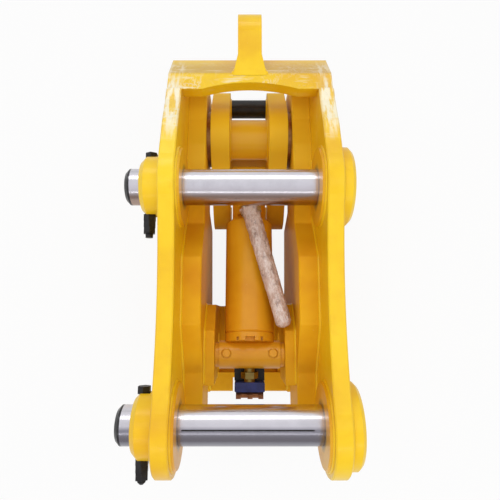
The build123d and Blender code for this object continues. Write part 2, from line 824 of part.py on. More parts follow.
with BuildPart() as foot_bolts:
    for sign in (-1, 1):
        with BuildSketch(up_plane.offset(foot_bolt_in)):
            with Locations((sign * foot_bolt_x, 0)):
                Circle(foot_bolt_dia / 2)
        extrude(amount=foot_flat - foot_bolt_in)
        with BuildSketch(up_plane.offset(foot_flat)):
            with Locations((sign * foot_bolt_x, 0)):
                Circle(foot_bolt_head_r)
        extrude(amount=foot_bolt_head_h)
    chamfer(foot_bolts.faces().sort_by(Axis.Z)[-2:].edges(), foot_bolt_bevel)
foot_bolts.part.label = "foot_bolts"
export_step(foot_bolts.part, "parts/foot_bolts.step")

foot_spacers = cross_pair(foot_half, lug_in - side_gap, foot, spacer_r, foot_pin_r + slip)
foot_spacers.part.label = "foot_spacers"
export_step(foot_spacers.part, "parts/foot_spacers.step")

# End cap with three notches, barrel and gland
with BuildPart() as end_cap:
    add(axis_tube(cap_start, barrel_start, barrel_r).part)
    chamfer(end_cap.faces().sort_by(Axis.Y)[-1].edges(), weld_v)
    with BuildSketch(Plane.YZ.offset(-barrel_r)):
        with Locations(foot):
            Circle(foot_r)
    extrude(amount=2 * barrel_r, mode=Mode.SUBTRACT)
    with BuildSketch(in_cylinder(cap_start)):
        for x, width in cap_notches:
            with Locations((x, -barrel_r)):
                Rectangle(width, cap_notch_h)
    extrude(amount=cap_notch_len, mode=Mode.SUBTRACT)
end_cap.part.label = "barrel_end_cap"
export_step(end_cap.part, "parts/barrel_end_cap.step")

with BuildPart() as barrel:
    add(axis_tube(barrel_start, barrel_end, barrel_r, bore_r).part)
    rims = barrel.edges().filter_by(GeomType.CIRCLE).filter_by(lambda edge: edge.radius > barrel_r - slip)
    chamfer(rims.sort_by(Axis.Y)[0], weld_v)
    chamfer(rims.sort_by(Axis.Y)[-1], shoulder)
barrel.part.label = "cylinder_barrel"
export_step(barrel.part, "parts/cylinder_barrel.step")

with BuildPart() as gland:
    add(axis_tube(barrel_end - gland_in, barrel_end, bore_r - slip / 2, rod_r + running).part)
    add(axis_tube(barrel_end, barrel_end + gland_out, gland_r, rod_r + running).part)
    with BuildSketch(in_cylinder(barrel_end + gland_out - seal_w)):
        Circle(rod_r + seal_depth)
    extrude(amount=seal_w, mode=Mode.SUBTRACT)
    with BuildSketch(in_cylinder(barrel_end - gland_in)):
        Circle(rod_r + seal_depth)
    extrude(amount=seal_w, mode=Mode.SUBTRACT)
gland.part.label = "gland"
export_step(gland.part, "parts/gland.step")

for name, start in (("wiper_seal", barrel_end + gland_out - seal_w), ("rod_seal", barrel_end - gland_in)):
    seal = axis_tube(start, start + seal_w, rod_r + seal_depth, rod_r + running)
    seal.part.label = name
    export_step(seal.part, f"parts/{name}.step")

# Piston rod with its eye, piston, seal and nut
piston_end = piston_start + piston_len
with BuildPart() as piston_rod:
    add(axis_tube(piston_end, reach - rod_eye_neck, rod_r).part)
    add(axis_tube(piston_start - nut_len - thread_out, piston_end, spigot_r).part)
piston_rod.part.label = "piston_rod"
export_step(piston_rod.part, "parts/piston_rod.step")

with BuildPart() as rod_eye:
    with BuildSketch(in_cylinder(reach - rod_eye_neck)):
        Circle(neck_r)
    extrude(amount=rod_eye_neck)
    with BuildSketch(Plane.YZ):
        with Locations(rod_pin):
            Circle(rod_eye_r)
    extrude(amount=rod_eye_half, both=True)
    with BuildSketch(Plane.YZ):
        with Locations(rod_pin):
            Circle(rod_pin_r + open_pivot_gap)
    extrude(amount=rod_eye_half, both=True, mode=Mode.SUBTRACT)
rod_eye.part.label = "rod_eye"
export_step(rod_eye.part, "parts/rod_eye.step")

seal_start = piston_start + (piston_len - seal_w) / 2
with BuildPart() as piston:
    add(axis_tube(piston_start, piston_end, bore_r - running, spigot_r).part)
    with BuildSketch(in_cylinder(seal_start)):
        Circle(bore_r)
        Circle(bore_r - seal_depth, mode=Mode.SUBTRACT)
    extrude(amount=seal_w, mode=Mode.SUBTRACT)
piston.part.label = "piston"
export_step(piston.part, "parts/piston.step")

piston_seal = axis_tube(seal_start, seal_start + seal_w, bore_r - running, bore_r - seal_depth)
piston_seal.part.label = "piston_seal"
export_step(piston_seal.part, "parts/piston_seal.step")

with BuildPart() as piston_nut:
    with BuildSketch(in_cylinder(piston_start - nut_len)):
        RegularPolygon(piston_nut_hex / 2, 6, major_radius=False)
        Circle(spigot_r + slip / 2, mode=Mode.SUBTRACT)
    extrude(amount=nut_len)
piston_nut.part.label = "piston_nut"
export_step(piston_nut.part, "parts/piston_nut.step")

# Port block on the gland, its two fittings and the wrapped pair of hoses
route = [above_cylinder(x, run, up) for x, run, up in zip(hose_across, hose_along, hose_over)]
first_run = (route[0] - route[1]).normalized()
fitting_side = Vector(1, 0, 0) - first_run * first_run.X
fitting_plane = Plane(origin=route[0], x_dir=fitting_side, z_dir=first_run)
with BuildPart() as port_block:
    with BuildSketch(in_cylinder(port_start)):
        with Locations((0, -(port_low + port_top) / 2)):
            Rectangle(2 * port_half, port_top - port_low)
    extrude(amount=port_end - port_start)
    with BuildSketch(in_cylinder(port_start)):
        Circle(gland_r)
    extrude(amount=port_end - port_start, mode=Mode.SUBTRACT)
    chamfer(port_block.edges().group_by(Axis.Z)[-1], port_bevel)
port_block.part.label = "port_block"
export_step(port_block.part, "parts/port_block.step")

with BuildPart() as fittings:
    for x in (-fitting_gap / 2, fitting_gap / 2):
        with BuildSketch(fitting_plane):
            with Locations((x, 0)):
                Circle(fitting_r)
        extrude(amount=fitting_len)
        with BuildSketch(fitting_plane.offset(fitting_hex_start)):
            with Locations((x, 0)):
                RegularPolygon(fitting_hex / 2, 6, major_radius=False, rotation=flat_up)
        extrude(amount=fitting_hex_w)
    add(port_block.part, mode=Mode.SUBTRACT)
fittings.part.label = "hose_fittings"
export_step(fittings.part, "parts/hose_fittings.step")

runs = [(after - before).length for before, after in zip(route, route[1:])]
turns = [
    (corner - before).get_angle(after - corner) for before, corner, after in zip(route, route[1:], route[2:])
]
radii = [
    bend_share * min(first, second) / math.tan(math.radians(turn / 2))
    for first, second, turn in zip(runs, runs[1:], turns)
]
with BuildPart() as bundle:
    with BuildLine() as bundle_path:
        FilletPolyline(*route, radius=radii)
    start_plane = Plane(origin=bundle_path.wire() @ 0, z_dir=bundle_path.wire() % 0)
    with BuildSketch(start_plane):
        Circle(bundle_dia / 2)
    sweep(path=bundle_path.wire())
bundle.part.label = "wrapped_hoses"
export_step(bundle.part, "parts/wrapped_hoses.step")
path_length = bundle_path.wire().length
section = math.pi * (bundle_dia / 2) ** 2
print("hose radii", [round(radius) for radius in radii], "length", round(path_length, 1))
print("volume against section times length", round(bundle.part.volume / (section * path_length), 4))

end_plane = Plane(origin=bundle_path.wire() @ 1, x_dir=cap_side, z_dir=bundle_path.wire() % 1)
with BuildPart() as hose_caps:
    with BuildSketch(end_plane):
        with Locations((-cap_r - cap_gap / 2, 0), (cap_r + cap_gap / 2, 0)):
            Circle(cap_r)
    extrude(amount=cap_len)
hose_caps.part.label = "hose_end_caps"
export_step(hose_caps.part, "parts/hose_end_caps.step")

# Lock valve on the front of the cylinder's foot
with BuildPart() as adapter:
    adapter_plane = Plane(origin=(0, valve_back, adapter_z), x_dir=(1, 0, 0), z_dir=(0, 1, 0))
    with BuildSketch(adapter_plane):
        Circle(adapter_r)
    extrude(amount=foot[0] - valve_back)
    with BuildSketch(adapter_plane.offset(adapter_hex_gap)):
        RegularPolygon(adapter_hex / 2, 6, major_radius=False)
    extrude(amount=adapter_hex_w)
    with BuildSketch(Plane.YZ.offset(-foot_half)):
        with Locations(foot):
            Circle(foot_r)
    extrude(amount=2 * foot_half, mode=Mode.SUBTRACT)
adapter.part.label = "valve_adapter"
export_step(adapter.part, "parts/valve_adapter.step")

with BuildPart() as valve_shelf:
    with BuildSketch(Plane.XY.offset(valve_low)):
        Polygon(
            (-shelf_half, valve_back),
            (shelf_half, valve_back),
            (shelf_half, shelf_end),
            (-shelf_half, shelf_end),
            align=None,
        )
    extrude(amount=shelf_t)
    with BuildSketch(Plane.YZ.offset(-foot_half)):
        with Locations(foot):
            Circle(foot_r)
    extrude(amount=2 * foot_half, mode=Mode.SUBTRACT)
valve_shelf.part.label = "valve_bracket"
export_step(valve_shelf.part, "parts/valve_bracket.step")

with BuildPart() as lock_valve:
    with BuildSketch(Plane.XY.offset(valve_low)):
        Polygon(
            (-valve_half, valve_front),
            (valve_half, valve_front),
            (valve_half, valve_back),
            (-valve_half, valve_back),
            align=None,
        )
    extrude(amount=valve_high - valve_low)
    chamfer(lock_valve.edges().filter_by(Axis.Z), valve_bevel)
lock_valve.part.label = "lock_valve"
export_step(lock_valve.part, "parts/lock_valve.step")

with BuildPart() as cartridge:
    cartridge_y = valve_front - cartridge_r
    add(cross_tube(-cartridge_half, cartridge_half, (cartridge_y, cartridge_z), cartridge_core_r).part)
    for start in (-cartridge_half, cartridge_hex_x, cartridge_half - cartridge_hex_w):
        with BuildSketch(Plane.YZ.offset(start)):
            with Locations((cartridge_y, cartridge_z)):
                RegularPolygon(cartridge_r, 6, major_radius=False, rotation=flat_up)
        extrude(amount=cartridge_hex_w)
cartridge.part.label = "relief_cartridge"
export_step(cartridge.part, "parts/relief_cartridge.step")
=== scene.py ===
import json
import math

import bmesh
import bpy
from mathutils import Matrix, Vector, noise


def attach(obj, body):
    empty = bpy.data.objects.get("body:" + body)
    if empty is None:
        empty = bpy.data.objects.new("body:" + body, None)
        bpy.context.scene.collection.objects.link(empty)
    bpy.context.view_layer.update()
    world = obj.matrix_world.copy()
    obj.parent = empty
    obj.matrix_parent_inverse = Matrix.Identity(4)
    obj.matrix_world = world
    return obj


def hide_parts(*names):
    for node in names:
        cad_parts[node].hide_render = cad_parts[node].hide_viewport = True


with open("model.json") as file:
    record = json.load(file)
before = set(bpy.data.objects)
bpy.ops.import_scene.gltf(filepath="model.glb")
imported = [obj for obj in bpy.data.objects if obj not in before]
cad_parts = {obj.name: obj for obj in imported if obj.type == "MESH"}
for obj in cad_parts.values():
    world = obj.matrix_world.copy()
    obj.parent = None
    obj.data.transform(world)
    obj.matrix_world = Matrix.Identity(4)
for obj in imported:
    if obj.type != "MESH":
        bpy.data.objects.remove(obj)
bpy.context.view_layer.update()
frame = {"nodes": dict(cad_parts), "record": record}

# Sizes of the solids that the scene's own pieces sit on, in metres
FLOOR_Z = -0.395
PLATE_IN = 0.153
PLATE_OUT = 0.187
HOOK_IN = 0.108
MOVER_IN = 0.050
PIN_SPACING = 0.5
PINS_Y = (0.0, PIN_SPACING)
RING_R = 0.086
COLLAR_R = 0.066
COLLAR_LEN = 0.047
PIN_STUB = 0.035
PIN_LOW = -PLATE_OUT - COLLAR_LEN - PIN_STUB
GROOVE_FLOOR_R = 0.0393
GROOVE_REACH = 0.2
BLACK_END = 0.012
POCKET = 0.015
BOLT_X = -PLATE_OUT - 0.68 * COLLAR_LEN
THREAD_START = 0.109
PIVOT = (0.688, -0.190)
PIVOT_BOSS_R = 0.052
HUB_R = 0.052
TIE_BAR = (0.791, -0.220)
TIE_R = 0.0245

# Camera at the photograph's viewing angle
SENSOR = 36.0
FOCAL_SHARE = 0.8697
scene = bpy.context.scene
scene.view_settings.view_transform = "Standard"
camera_data = bpy.data.cameras.new("camera")
camera_data.sensor_width = SENSOR
camera_data.lens = SENSOR * FOCAL_SHARE
camera_data.shift_x = 0.0137
camera = bpy.data.objects.new("camera", camera_data)
scene.collection.objects.link(camera)
scene.camera = camera
camera.location = (-0.0155, 0.2228, 0.9282)
camera.rotation_euler = (math.radians(8.422), 0, 0)


# Small helpers
def link(obj):
    """Put an object into the scene."""
    scene.collection.objects.link(obj)
    return obj


def mesh_object(name, vertices, faces, material, smooth=True):
    """Object from plain lists of points and faces."""
    mesh = bpy.data.meshes.new(name)
    mesh.from_pydata(vertices, [], faces)
    mesh.validate()
    mesh.polygons.foreach_set("use_smooth", [smooth] * len(mesh.polygons))
    mesh.materials.append(material)
    return link(bpy.data.objects.new(name, mesh))


def tidy_normals(obj):
    """Turn all faces of a closed mesh outwards."""
    work = bmesh.new()
    work.from_mesh(obj.data)
    bmesh.ops.recalc_face_normals(work, faces=work.faces)
    work.to_mesh(obj.data)
    work.free()


def frames_along(points, closed=False):
    """Point, side and up for each point of a line, turning as little as possible."""
    count = len(points)
    frames = []
    side = None
    for i in range(count):
        before = points[i - 1] if closed or i else points[i]
        after = points[(i + 1) % count] if closed or i < count - 1 else points[i]
        along = (after - before).normalized()
        if side is None:
            helper = Vector((0, 0, 1)) if abs(along.z) < 0.9 else Vector((1, 0, 0))
            side = along.cross(helper).normalized()
        side = (side - along * side.dot(along)).normalized()
        frames.append((points[i], side, along.cross(side), along))
    return frames


def even_points(points, step, closed=False):
    """Points at even steps along straight runs."""
    ring = points + [points[0]] if closed else points
    lengths = [(b - a).length for a, b in zip(ring, ring[1:])]
    total = sum(lengths)
    count = max(2, round(total / step))
    result = []
    for i in range(count if closed else count + 1):
        target = total * i / count
        for (a, b), length in zip(zip(ring, ring[1:]), lengths):
            if target <= length or b is ring[-1]:
                result.append(a.lerp(b, min(1, target / length)))
                break
            target -= length
    return result


# Material building blocks
class Tree:
    """Shorthand for adding nodes to a node tree."""

    def __init__(self, tree):
        self.tree = tree

    def node(self, kind):
        return self.tree.nodes.new(kind)

    def join(self, source, target):
        self.tree.links.new(source, target)

    def axes(self, vector):
        """Outputs X, Y and Z of a vector."""
        parts = self.node("ShaderNodeSeparateXYZ")
        self.join(vector, parts.inputs[0])
        return parts.outputs

    def ramp(self, value, *stops):
        ramp = self.node("ShaderNodeValToRGB")
        for i, (place, colour) in enumerate(stops):
            stop = ramp.color_ramp.elements[i] if i < 2 else ramp.color_ramp.elements.new(place)
            stop.position = place
            stop.color = (*colour, 1) if isinstance(colour, tuple) else (colour, colour, colour, 1)
        self.join(value, ramp.inputs["Fac"])
        return ramp.outputs["Color"]

    def math(self, kind, *values):
        node = self.node("ShaderNodeMath")
        node.operation = kind
        for value, socket in zip(values, node.inputs):
            if isinstance(value, (int, float)):
                socket.default_value = value
            else:
                self.join(value, socket)
        return node.outputs[0]

    def plus(self, first, second):
        return self.math("ADD", first, second)

    def times(self, first, second):
        return self.math("MULTIPLY", first, second)

    def squared(self, value):
        return self.times(value, value)

    def mix(self, share, first, second):
        node = self.node("ShaderNodeMix")
        node.data_type = "RGBA"
        for value, socket in ((share, node.inputs[0]), (first, node.inputs[6]), (second, node.inputs[7])):
            if isinstance(value, tuple):
                socket.default_value = (*value, 1)
            elif isinstance(value, (int, float)):
                socket.default_value = value
            else:
                self.join(value, socket)
        return node.outputs[2]


class Shader(Tree):
    """A Principled material with a few procedural layers."""

    def __init__(self, name, roughness, metallic=0.0, coat=0.0, coat_roughness=0.1, specular=0.5):
        self.material = bpy.data.materials.new(name)
        self.material.use_nodes = True
        super().__init__(self.material.node_tree)
        self.main = self.tree.nodes["Principled BSDF"]
        self.main.inputs["Roughness"].default_value = roughness
        self.main.inputs["Metallic"].default_value = metallic
        self.main.inputs["Coat Weight"].default_value = coat
        self.main.inputs["Coat Roughness"].default_value = coat_roughness
        self.main.inputs["Specular IOR Level"].default_value = specular
        self.place = self.node("ShaderNodeTexCoord").outputs["Object"]

    def stretched(self, scale):
        mapping = self.node("ShaderNodeMapping")
        mapping.inputs["Scale"].default_value = scale
        self.join(self.place, mapping.inputs["Vector"])
        return mapping.outputs["Vector"]

    def noise(self, scale, detail=3.0, roughness=0.55, stretch=None):
        texture = self.node("ShaderNodeTexNoise")
        texture.inputs["Scale"].default_value = scale
        texture.inputs["Detail"].default_value = detail
        texture.inputs["Roughness"].default_value = roughness
        self.join(self.stretched(stretch) if stretch else self.place, texture.inputs["Vector"])
        return texture.outputs["Fac"]

    def cells(self, scale):
        texture = self.node("ShaderNodeTexVoronoi")
        texture.inputs["Scale"].default_value = scale
        self.join(self.place, texture.inputs["Vector"])
        return texture.outputs["Distance"]

    def colour(self, value):
        self.join(value, self.main.inputs["Base Color"])

    def roughness(self, value, low, high):
        spread = self.node("ShaderNodeMapRange")
        spread.inputs["To Min"].default_value = low
        spread.inputs["To Max"].default_value = high
        self.join(value, spread.inputs["Value"])
        self.join(spread.outputs["Result"], self.main.inputs["Roughness"])

    def rounded(self, radius):
        """Soft light on the edges, as on a ground and painted corner."""
        bevel = self.node("ShaderNodeBevel")
        bevel.samples = 4
        bevel.inputs["Radius"].default_value = radius
        return bevel.outputs["Normal"]

    def edges(self, radius):
        """1 on worn edges, 0 elsewhere."""
        soft = self.rounded(radius)
        plain = self.node("ShaderNodeNewGeometry").outputs["Normal"]
        dot = self.node("ShaderNodeVectorMath")
        dot.operation = "DOT_PRODUCT"
        self.join(soft, dot.inputs[0])
        self.join(plain, dot.inputs[1])
        return self.math("SUBTRACT", 1.0, dot.outputs["Value"])

    def bump(self, height, distance, strength=1.0, under=None):
        bump = self.node("ShaderNodeBump")
        bump.inputs["Distance"].default_value = distance
        bump.inputs["Strength"].default_value = strength
        self.join(height, bump.inputs["Height"])
        if under:
            self.join(under, bump.inputs["Normal"])
        return bump.outputs["Normal"]

    def normal(self, value, coat=True):
        self.join(value, self.main.inputs["Normal"])
        if coat:
            self.join(value, self.main.inputs["Coat Normal"])


# Colours: of each paint the base, a darker and a lighter shade
YELLOW = ((0.91, 0.575, 0.006), (0.80, 0.42, 0.004), (0.95, 0.67, 0.02))
# Painted shade: darker copies of the same yellow paint for the inner pieces and the cylinder
SHADED_YELLOW = ((0.83, 0.43, 0.006), (0.72, 0.31, 0.004), (0.89, 0.52, 0.02))
SHADED_CYLINDER_YELLOW = ((0.78, 0.37, 0.010), (0.68, 0.28, 0.006), (0.84, 0.45, 0.02))
# Painted light: lighter yellow that the inner faces and the cylinder take toward the rear
REAR_LIT_YELLOW = (0.97, 0.62, 0.025)
DUST = (0.92, 0.80, 0.42)
# Painted shade: dark ring on the rings round the pins' ends
CONTACT_SHADE = (0.13, 0.085, 0.04)
# Painted shade: brown band on the cross plate's bent-down rear face
BEVEL_SHADE = (0.46, 0.25, 0.03)
# Painted highlight on the film's creases
FILM_CREASE_HIGHLIGHT = (0.96, 0.93, 0.84)
# Pale film, partly its own cloudiness and partly painted sheen
FILM_AND_SHEEN_PALE = (0.95, 0.88, 0.66)
# Pale streaks on the rims: film and painted glare
RIM_FILM_AND_GLARE = (0.96, 0.90, 0.70)
STEEL = (0.73, 0.71, 0.75)
OIL_SPOT = (0.16, 0.11, 0.08)
BLACKED = (0.018, 0.018, 0.020)
# Painted shade in the stick pin's groove
GROOVE_SHADE = (0.010, 0.009, 0.009)


def paint(
    name, shades, coat=0.28, roughness=0.36, specular=0.32, film_and_sheen=False, painted_rear_light=0.0, pin_shade=False
):
    """Sprayed enamel with orange peel, uneven thickness, nibs of dust and rubbed edges, and as options
    painted light toward the rear, painted shade round the pins and film with painted sheen.
    """
    base, dark, light = shades
    shader = Shader(name, roughness, coat=coat, coat_roughness=0.14, specular=specular)
    cloud = shader.noise(5.0, 4.0)
    colour = shader.ramp(cloud, (0.30, dark), (0.52, base), (0.78, light))
    runs = shader.noise(26.0, 3.0, stretch=(1.0, 1.0, 0.35))
    colour = shader.mix(shader.ramp(runs, (0.56, 0.0), (0.74, 0.30)), colour, dark)
    # Painted light: the paint turns lighter toward the rear, past Y 0.52 m
    if painted_rear_light:
        behind = shader.ramp(shader.axes(shader.place)["Y"], (0.52, 0.0), (0.60, painted_rear_light))
        colour = shader.mix(behind, colour, REAR_LIT_YELLOW)
    # Painted shade round the pins, where the rings meet them
    if pin_shade:
        colour = shader.mix(painted_shade_round_pins(shader), colour, CONTACT_SHADE)
    wear = shader.times(shader.edges(0.0022), shader.noise(90.0, 4.0))
    colour = shader.mix(shader.ramp(wear, (0.10, 0.0), (0.30, 0.55)), colour, light)
    dust = shader.ramp(shader.cells(95.0), (0.05, 1.0), (0.085, 0.0))
    chosen = shader.ramp(shader.noise(31.0, 2.0), (0.60, 0.0), (0.66, 1.0))
    dust = shader.times(dust, chosen)
    colour = shader.mix(shader.times(dust, 0.5), colour, DUST)
    peel = shader.noise(420.0, 2.0)
    flow = shader.noise(38.0, 2.0)
    height = shader.plus(shader.times(peel, 0.22), flow)
    soft = shader.bump(height, 0.0006, 0.55, shader.rounded(0.0018))
    # Film with painted highlights and glare on the rear rims and the cross plate
    if film_and_sheen:
        colour, soft = film_with_painted_sheen(shader, colour, soft)
    shader.colour(colour)
    shader.roughness(shader.noise(60.0, 4.0), roughness - 0.08, roughness + 0.12)
    shader.normal(soft)
    return shader.material


def painted_shade_round_pins(shader):
    """Painted contact shade: 1 close to the pins, with an uneven edge, and 0 farther out."""
    parts = shader.axes(shader.place)
    from_stick = shader.squared(parts["Y"])
    from_link = shader.squared(shader.math("SUBTRACT", parts["Y"], PIN_SPACING))
    from_pin = shader.plus(shader.math("MINIMUM", from_stick, from_link), shader.squared(parts["Z"]))
    smeared = shader.plus(from_pin, shader.times(shader.noise(30.0), 0.0012))
    return shader.ramp(shader.times(smeared, 100.0), (0.22, 0.85), (0.34, 0.0))


def film_with_painted_sheen(shader, colour, under):
    """Crumpled clear film left on the sloping rear rims and the cross plate, with painted highlights and
    glare on its creases, rims and upward faces, and a painted shade band where the cross plate bends down.
    """
    parts = shader.axes(shader.place)
    behind = shader.ramp(parts["Y"], (0.575, 0.0), (0.635, 1.0))
    above = shader.ramp(shader.plus(parts["Z"], 0.5), (0.44, 0.0), (0.475, 1.0))
    held = shader.times(behind, above)
    # Painted shade on the cross plate past its bend, where the face turns away
    past_bend_shade = shader.ramp(parts["Y"], (0.766, 0.0), (0.774, 0.55))
    colour = shader.mix(shader.times(past_bend_shade, held), colour, BEVEL_SHADE)
    held = shader.times(held, shader.ramp(parts["Y"], (0.735, 1.0), (0.765, 0.5)))
    outside = shader.ramp(shader.math("ABSOLUTE", parts["X"]), (0.150, 0.0), (0.158, 1.0))
    # Stronger on faces turned up toward the lamps: painted highlight
    facing = shader.axes(shader.node("ShaderNodeNewGeometry").outputs["Normal"])
    held = shader.times(held, shader.ramp(facing["Z"], (0.15, 0.10), (0.45, 1.0)))
    rims = shader.times(outside, held)
    folds = shader.noise(26.0, 4.0, 0.65, stretch=(1.6, 0.45, 1.6))
    crease = shader.ramp(folds, (0.465, 0.0), (0.50, 1.0), (0.535, 0.0))
    patch = shader.ramp(shader.noise(11.0, 2.0), (0.46, 0.0), (0.60, 1.0))
    share = shader.times(held, shader.times(crease, patch))
    colour = shader.mix(shader.times(share, 0.45), colour, FILM_CREASE_HIGHLIGHT)
    across = shader.noise(24.0, 3.0, 0.6, stretch=(0.6, 3.0, 2.0))
    across = shader.ramp(across, (0.56, 0.0), (0.66, 0.70))
    colour = shader.mix(shader.times(held, across), colour, FILM_AND_SHEEN_PALE)
    film_and_glare_streaks = shader.noise(22.0, 4.0, 0.6, stretch=(4.0, 0.5, 1.0))
    film_and_glare_streaks = shader.ramp(film_and_glare_streaks, (0.45, 0.10), (0.55, 0.90))
    colour = shader.mix(shader.times(rims, film_and_glare_streaks), colour, RIM_FILM_AND_GLARE)
    crumple = shader.times(folds, held)
    return colour, shader.bump(crumple, 0.006, 1.0, under)


def ground_steel(name, tint, roughness=0.18, painted_side=None, groove=False):
    """Ground bar with fine lines round it and faint handling marks.

    The machine's pins also have a black end and a darker painted side, painted shade on the stick pin and a
    painted brown reflection of the yellow parts on the link pin, given as its limit, share and colour.
    """
    shader = Shader(name, roughness, metallic=1.0)
    lines = shader.noise(1.0, 5.0, 0.7, stretch=(1300.0, 3.0, 3.0))
    stains = shader.noise(16.0, 5.0, 0.65)
    shade = tuple(channel * 0.78 for channel in tint)
    colour = shader.mix(shader.ramp(stains, (0.42, 0.0), (0.72, 0.50)), tint, shade)
    colour = shader.mix(shader.ramp(lines, (0.45, 0.0), (0.80, 0.16)), colour, shade)
    spots = shader.ramp(shader.cells(60.0), (0.04, 0.7), (0.10, 0.0))
    spots = shader.times(spots, shader.ramp(shader.noise(22.0), (0.58, 0.0), (0.66, 1.0)))
    colour = shader.mix(spots, colour, OIL_SPOT)
    if painted_side:
        limit, share, painted_side_tint = painted_side
        parts = shader.axes(shader.place)
        # Painted darker side toward the front, below the limit, in the tint each pin is given
        past = shader.math("SUBTRACT", parts["Y"], limit - 0.5)
        colour = shader.mix(shader.ramp(past, (0.496, share), (0.504, 0.0)), colour, painted_side_tint)
        brushed = shader.plus(parts["X"], shader.times(stains, 0.0015))
        coated = shader.math("LESS_THAN", brushed, PIN_LOW + BLACK_END)
        colour = shader.mix(coated, colour, BLACKED)
        if groove:
            # Painted shade: the groove's floor is painted near black
            from_axis = shader.plus(shader.squared(parts["Y"]), shader.squared(parts["Z"]))
            sunk = shader.math("LESS_THAN", from_axis, GROOVE_FLOOR_R**2)
            middle = shader.math("LESS_THAN", shader.squared(parts["X"]), GROOVE_REACH**2)
            sunk = shader.times(sunk, middle)
            colour = shader.mix(sunk, colour, GROOVE_SHADE)
            coated = shader.math("MAXIMUM", coated, sunk)
        bare = shader.math("SUBTRACT", 1.0, coated)
        shader.join(bare, shader.main.inputs["Metallic"])
    shader.colour(colour)
    shader.roughness(stains, roughness - 0.04, roughness + 0.09)
    shader.normal(shader.rounded(0.0012), coat=False)
    return shader.material


def plain_metal(name, base, dark, roughness, metallic=1.0, grain=240.0):
    """Plated, cast or blackened metal with a fine grain and dirt in patches."""
    shader = Shader(name, roughness, metallic=metallic)
    patches = shader.noise(42.0, 5.0, 0.65)
    colour = shader.ramp(patches, (0.35, dark), (0.62, base))
    wear = shader.times(shader.edges(0.0012), shader.noise(160.0, 3.0))
    pale = tuple(min(1.0, channel * 1.7 + 0.03) for channel in base)
    colour = shader.mix(shader.ramp(wear, (0.10, 0.0), (0.32, 0.8)), colour, pale)
    fine = shader.noise(grain, 4.0, 0.7)
    shader.colour(colour)
    shader.roughness(patches, roughness - 0.06, roughness + 0.14)
    shader.normal(shader.bump(fine, 0.0003, 0.5, shader.rounded(0.0008)), coat=False)
    return shader.material


def moulded(name, base, dark, roughness, specular=0.5):
    """Rubber or plastic with a fine grain and faint bloom."""
    shader = Shader(name, roughness, specular=specular)
    patches = shader.noise(55.0, 4.0)
    shader.colour(shader.ramp(patches, (0.35, dark), (0.65, base)))
    shader.roughness(patches, roughness - 0.08, roughness + 0.1)
    shader.normal(shader.bump(shader.noise(600.0, 3.0), 0.0002, 0.4), coat=False)
    return shader.material


def wrap_film(name):
    """Cloudy crinkled film over two dark hoses, with painted shade in its folds and painted highlights on its
    creases.
    """
    shader = Shader(name, 0.30, coat=0.35, coat_roughness=0.15)
    cloud = shader.noise(30.0, 4.0, 0.6)
    dark, middle, pale = (0.36, 0.23, 0.17), (0.58, 0.42, 0.36), (0.76, 0.64, 0.60)
    colour = shader.ramp(cloud, (0.30, dark), (0.50, middle), (0.70, pale))
    folds = shader.noise(70.0, 6.0, 0.75, stretch=(1.0, 0.4, 1.0))
    # Painted highlight on the film's creases
    crease_highlight = shader.ramp(folds, (0.45, 0.0), (0.50, 0.65), (0.55, 0.0))
    colour = shader.mix(crease_highlight, colour, (0.88, 0.82, 0.80))
    # Painted shade in the film's folds
    fold_shade = shader.ramp(shader.noise(85.0, 4.0, 0.7, stretch=(1.0, 0.5, 1.0)), (0.55, 0.0), (0.63, 0.65))
    colour = shader.mix(fold_shade, colour, (0.26, 0.17, 0.15))
    shader.colour(colour)
    shader.roughness(folds, 0.22, 0.5)
    shader.normal(shader.bump(folds, 0.0026, 0.9))
    return shader.material


# One material for each slot, and finishes that single pieces have instead
MATERIALS = {
    "yellow_paint": paint("yellow_paint", YELLOW),
    "pin_steel": ground_steel("pin_steel", STEEL),
    "black_steel": plain_metal("black_steel", (0.022, 0.021, 0.021), (0.010, 0.009, 0.009), 0.42, 0.3),
    "bronze": plain_metal("bronze", (0.46, 0.26, 0.09), (0.26, 0.13, 0.05), 0.38),
    "zinc": plain_metal("zinc", (0.60, 0.60, 0.57), (0.36, 0.35, 0.32), 0.34),
    "olive_zinc": plain_metal("olive_zinc", (0.36, 0.27, 0.08), (0.20, 0.15, 0.05), 0.38),
    "blue_paint": plain_metal("blue_paint", (0.018, 0.028, 0.14), (0.010, 0.014, 0.07), 0.36, 0.0),
    "copper": plain_metal("copper", (0.40, 0.17, 0.07), (0.20, 0.07, 0.03), 0.36),
    "rubber": moulded("rubber", (0.022, 0.022, 0.022), (0.012, 0.012, 0.012), 0.62),
    "chrome": ground_steel("chrome", (0.80, 0.80, 0.82), 0.12),
    "cast_iron": plain_metal("cast_iron", (0.20, 0.20, 0.21), (0.12, 0.12, 0.12), 0.45),
    "film": wrap_film("film"),
    "plug_plastic": moulded("plug_plastic", (0.34, 0.20, 0.16), (0.22, 0.12, 0.10), 0.42),
}
FILM_AND_SHEEN_YELLOW = paint("film_and_sheen_yellow", YELLOW, film_and_sheen=True)
# Painted shade: inner pieces and the cylinder take darker copies of the yellow paint, with painted light
# toward the rear
INNER_SHADED_YELLOW = paint(
    "inner_shaded_yellow", SHADED_YELLOW, coat=0.08, roughness=0.55, specular=0.22, painted_rear_light=0.85
)
# Rings: darker copy of the paint and painted shade round the pins
RING_SHADED_YELLOW = paint("ring_shaded_yellow", SHADED_YELLOW, pin_shade=True)
BARREL_SHADED_YELLOW = paint(
    "barrel_shaded_yellow", SHADED_CYLINDER_YELLOW, coat=0.30, roughness=0.42, specular=0.35, painted_rear_light=0.70
)
# Link pin: painted brown reflection of the yellow parts on its front side
BLACK_END_PIN = ground_steel("black_end_pin", STEEL, painted_side=(0.475, 0.70, (0.30, 0.15, 0.06)))
